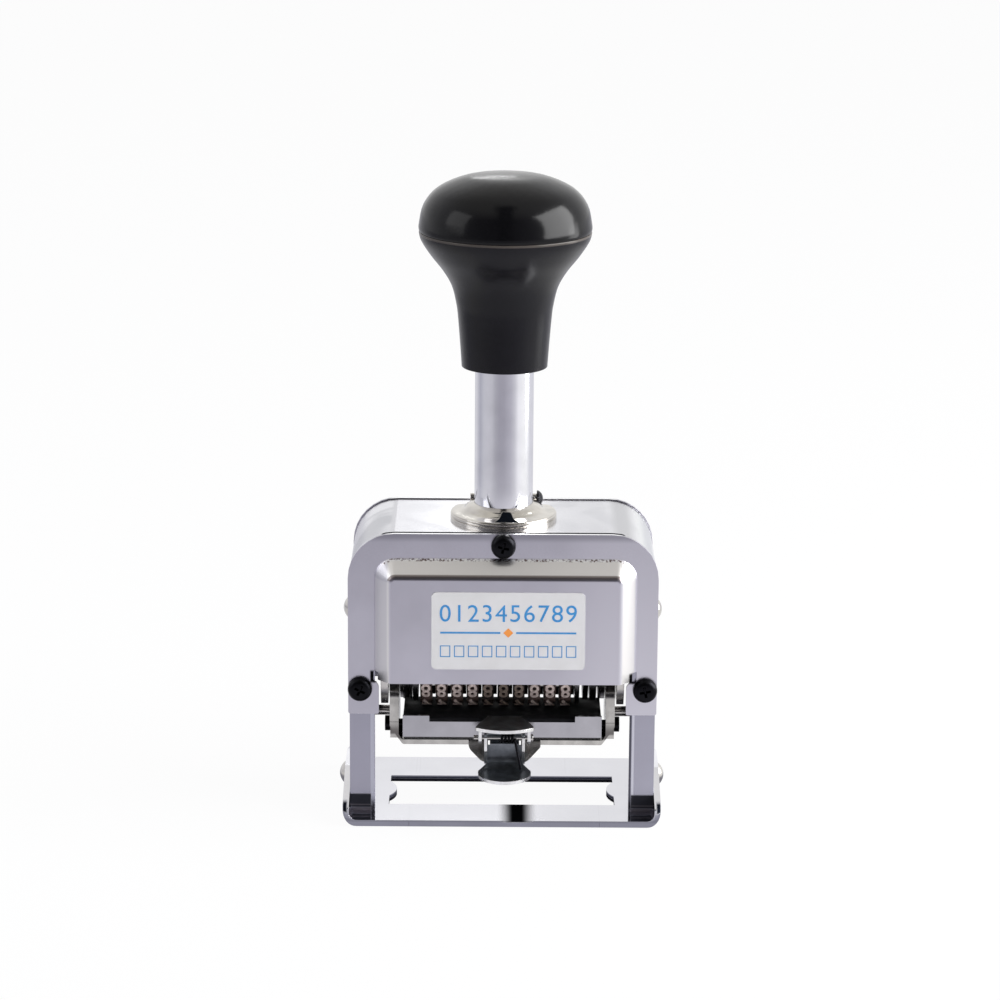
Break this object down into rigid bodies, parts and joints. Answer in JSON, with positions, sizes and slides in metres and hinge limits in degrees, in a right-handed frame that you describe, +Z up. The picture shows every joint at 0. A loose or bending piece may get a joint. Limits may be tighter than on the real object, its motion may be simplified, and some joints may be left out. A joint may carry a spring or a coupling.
{
  "type": "numbering machine",
  "caption": "Hand-operated self-inking numbering machine: a spring-returned plunger carries a pack of type wheels down through an arched metal frame while its ink pad swings clear.",
  "frame": {"origin": "printing line on the table: middle of the base plate's underside, straight below the handle's axis", "axes": "+Z up along the handle's axis, the labelled front cover and the pad clip face -Y, +X to the right as seen from the front"},
  "size_m": [0.0816, 0.0533, 0.1579],
  "materials": {
    "polished_chrome": "polished",
    "satin_steel": "satin",
    "nickel_steel": "satin",
    "blackened_steel": "satin",
    "dark_zinc": "satin",
    "type_bronze": "worn",
    "spring_wire": "satin",
    "brass": "turned",
    "black_grip": "satin",
    "black_cap": "gloss",
    "pad_felt": "ink-soaked",
    "label_card": "matt",
    "buffer_rubber": "matt"
  },
  "bodies": {
    "frame": {"base_plate": "polished_chrome", "main_frame": "polished_chrome", "front_cover": "satin_steel", "rear_cover": "satin_steel", "front_cover_screws": "blackened_steel", "rear_cover_screws": "blackened_steel", "label": "label_card", "collar": "polished_chrome", "collar_nut": "nickel_steel", "ear_rivets": "polished_chrome", "side_screws": "polished_chrome", "left_cam_plate": "nickel_steel", "right_cam_plate": "nickel_steel", "spring_pins": "nickel_steel"},
    "plunger": {"handle_tube": "polished_chrome", "knob_grip": "black_grip", "knob_cap": "black_cap", "handle_stud": "brass", "stop_ring": "nickel_steel", "buffer_washer": "buffer_rubber", "crosshead": "nickel_steel", "left_cheek": "nickel_steel", "right_cheek": "nickel_steel", "cheek_screws": "blackened_steel", "guide_shoes": "nickel_steel", "wheel_shaft": "nickel_steel", "shaft_nuts": "blackened_steel", "shaft_bushes": "nickel_steel", "detent_comb": "nickel_steel", "pawl_rod": "nickel_steel", "return_springs": "spring_wire"},
    "wheel_1": {"number_wheel_1": "type_bronze"},
    "wheel_2": {"number_wheel_2": "type_bronze"},
    "wheel_3": {"number_wheel_3": "type_bronze"},
    "wheel_4": {"number_wheel_4": "type_bronze"},
    "wheel_5": {"number_wheel_5": "type_bronze"},
    "wheel_6": {"number_wheel_6": "type_bronze"},
    "wheel_7": {"number_wheel_7": "type_bronze"},
    "wheel_8": {"number_wheel_8": "type_bronze"},
    "wheel_9": {"number_wheel_9": "type_bronze"},
    "wheel_10": {"number_wheel_10": "type_bronze"},
    "pawl_frame": {"drive_pawls": "nickel_steel"},
    "pad_carrier": {"pad_bail": "nickel_steel", "cam_studs": "nickel_steel", "pad_tray": "nickel_steel", "ink_pad": "pad_felt", "tray_pins": "nickel_steel", "clip_bracket": "dark_zinc", "clip_pin": "nickel_steel"},
    "clip": {"clip_lever": "dark_zinc", "clip_spring": "spring_wire"},
    "lock": {"lock_pin": "polished_chrome", "lock_button": "blackened_steel"},
    "selector": {"repeat_selector": "nickel_steel"}
  },
  "joints": [
    {"name": "plunger_slide", "type": "slide", "parent": "frame", "child": "plunger", "axis": [0, 0, -1], "range_m": [0, 0.0241], "stiffness_N_per_m": 420, "springref_m": -0.022, "deforming": ["return_springs"]},
    {"name": "wheel_1_spin", "type": "hinge", "parent": "plunger", "child": "wheel_1", "pos_m": [0, 0, 0.03695], "axis": [1, 0, 0], "continuous": true},
    {"name": "wheel_2_spin", "type": "hinge", "parent": "plunger", "child": "wheel_2", "pos_m": [0, 0, 0.03695], "axis": [1, 0, 0], "continuous": true},
    {"name": "wheel_3_spin", "type": "hinge", "parent": "plunger", "child": "wheel_3", "pos_m": [0, 0, 0.03695], "axis": [1, 0, 0], "continuous": true},
    {"name": "wheel_4_spin", "type": "hinge", "parent": "plunger", "child": "wheel_4", "pos_m": [0, 0, 0.03695], "axis": [1, 0, 0], "continuous": true},
    {"name": "wheel_5_spin", "type": "hinge", "parent": "plunger", "child": "wheel_5", "pos_m": [0, 0, 0.03695], "axis": [1, 0, 0], "continuous": true},
    {"name": "wheel_6_spin", "type": "hinge", "parent": "plunger", "child": "wheel_6", "pos_m": [0, 0, 0.03695], "axis": [1, 0, 0], "continuous": true},
    {"name": "wheel_7_spin", "type": "hinge", "parent": "plunger", "child": "wheel_7", "pos_m": [0, 0, 0.03695], "axis": [1, 0, 0], "continuous": true},
    {"name": "wheel_8_spin", "type": "hinge", "parent": "plunger", "child": "wheel_8", "pos_m": [0, 0, 0.03695], "axis": [1, 0, 0], "continuous": true},
    {"name": "wheel_9_spin", "type": "hinge", "parent": "plunger", "child": "wheel_9", "pos_m": [0, 0, 0.03695], "axis": [1, 0, 0], "continuous": true},
    {"name": "wheel_10_spin", "type": "hinge", "parent": "plunger", "child": "wheel_10", "pos_m": [0, 0, 0.03695], "axis": [1, 0, 0], "continuous": true},
    {"name": "pad_swing", "type": "hinge", "parent": "plunger", "child": "pad_carrier", "pos_m": [0, 0, 0.03695], "axis": [-1, 0, 0], "range_deg": [0, 70]},
    {"name": "pawl_swing", "type": "hinge", "parent": "plunger", "child": "pawl_frame", "pos_m": [0, 0.0135, 0.04895], "axis": [1, 0, 0], "range_deg": [0, 12]},
    {"name": "clip_squeeze", "type": "hinge", "parent": "pad_carrier", "child": "clip", "pos_m": [0.0006, -0.019, 0.0213], "axis": [-1, 0, 0], "range_deg": [0, 14], "stiffness_Nm_per_rad": 0.08, "springref_deg": -34.38},
    {"name": "lock_press", "type": "slide", "parent": "frame", "child": "lock", "axis": [-1, 0, 0], "range_m": [0, 0.0012]},
    {"name": "selector_turn", "type": "hinge", "parent": "plunger", "child": "selector", "pos_m": [0.0206, 0, 0.03695], "axis": [1, 0, 0], "range_deg": [0, 36]}
  ],
  "couplings": [
    {"joint": "pad_swing", "follows": "plunger_slide", "rad_per_m": 50.694},
    {"joint": "pawl_swing", "follows": "plunger_slide", "rad_per_m": 8.69}
  ]
}
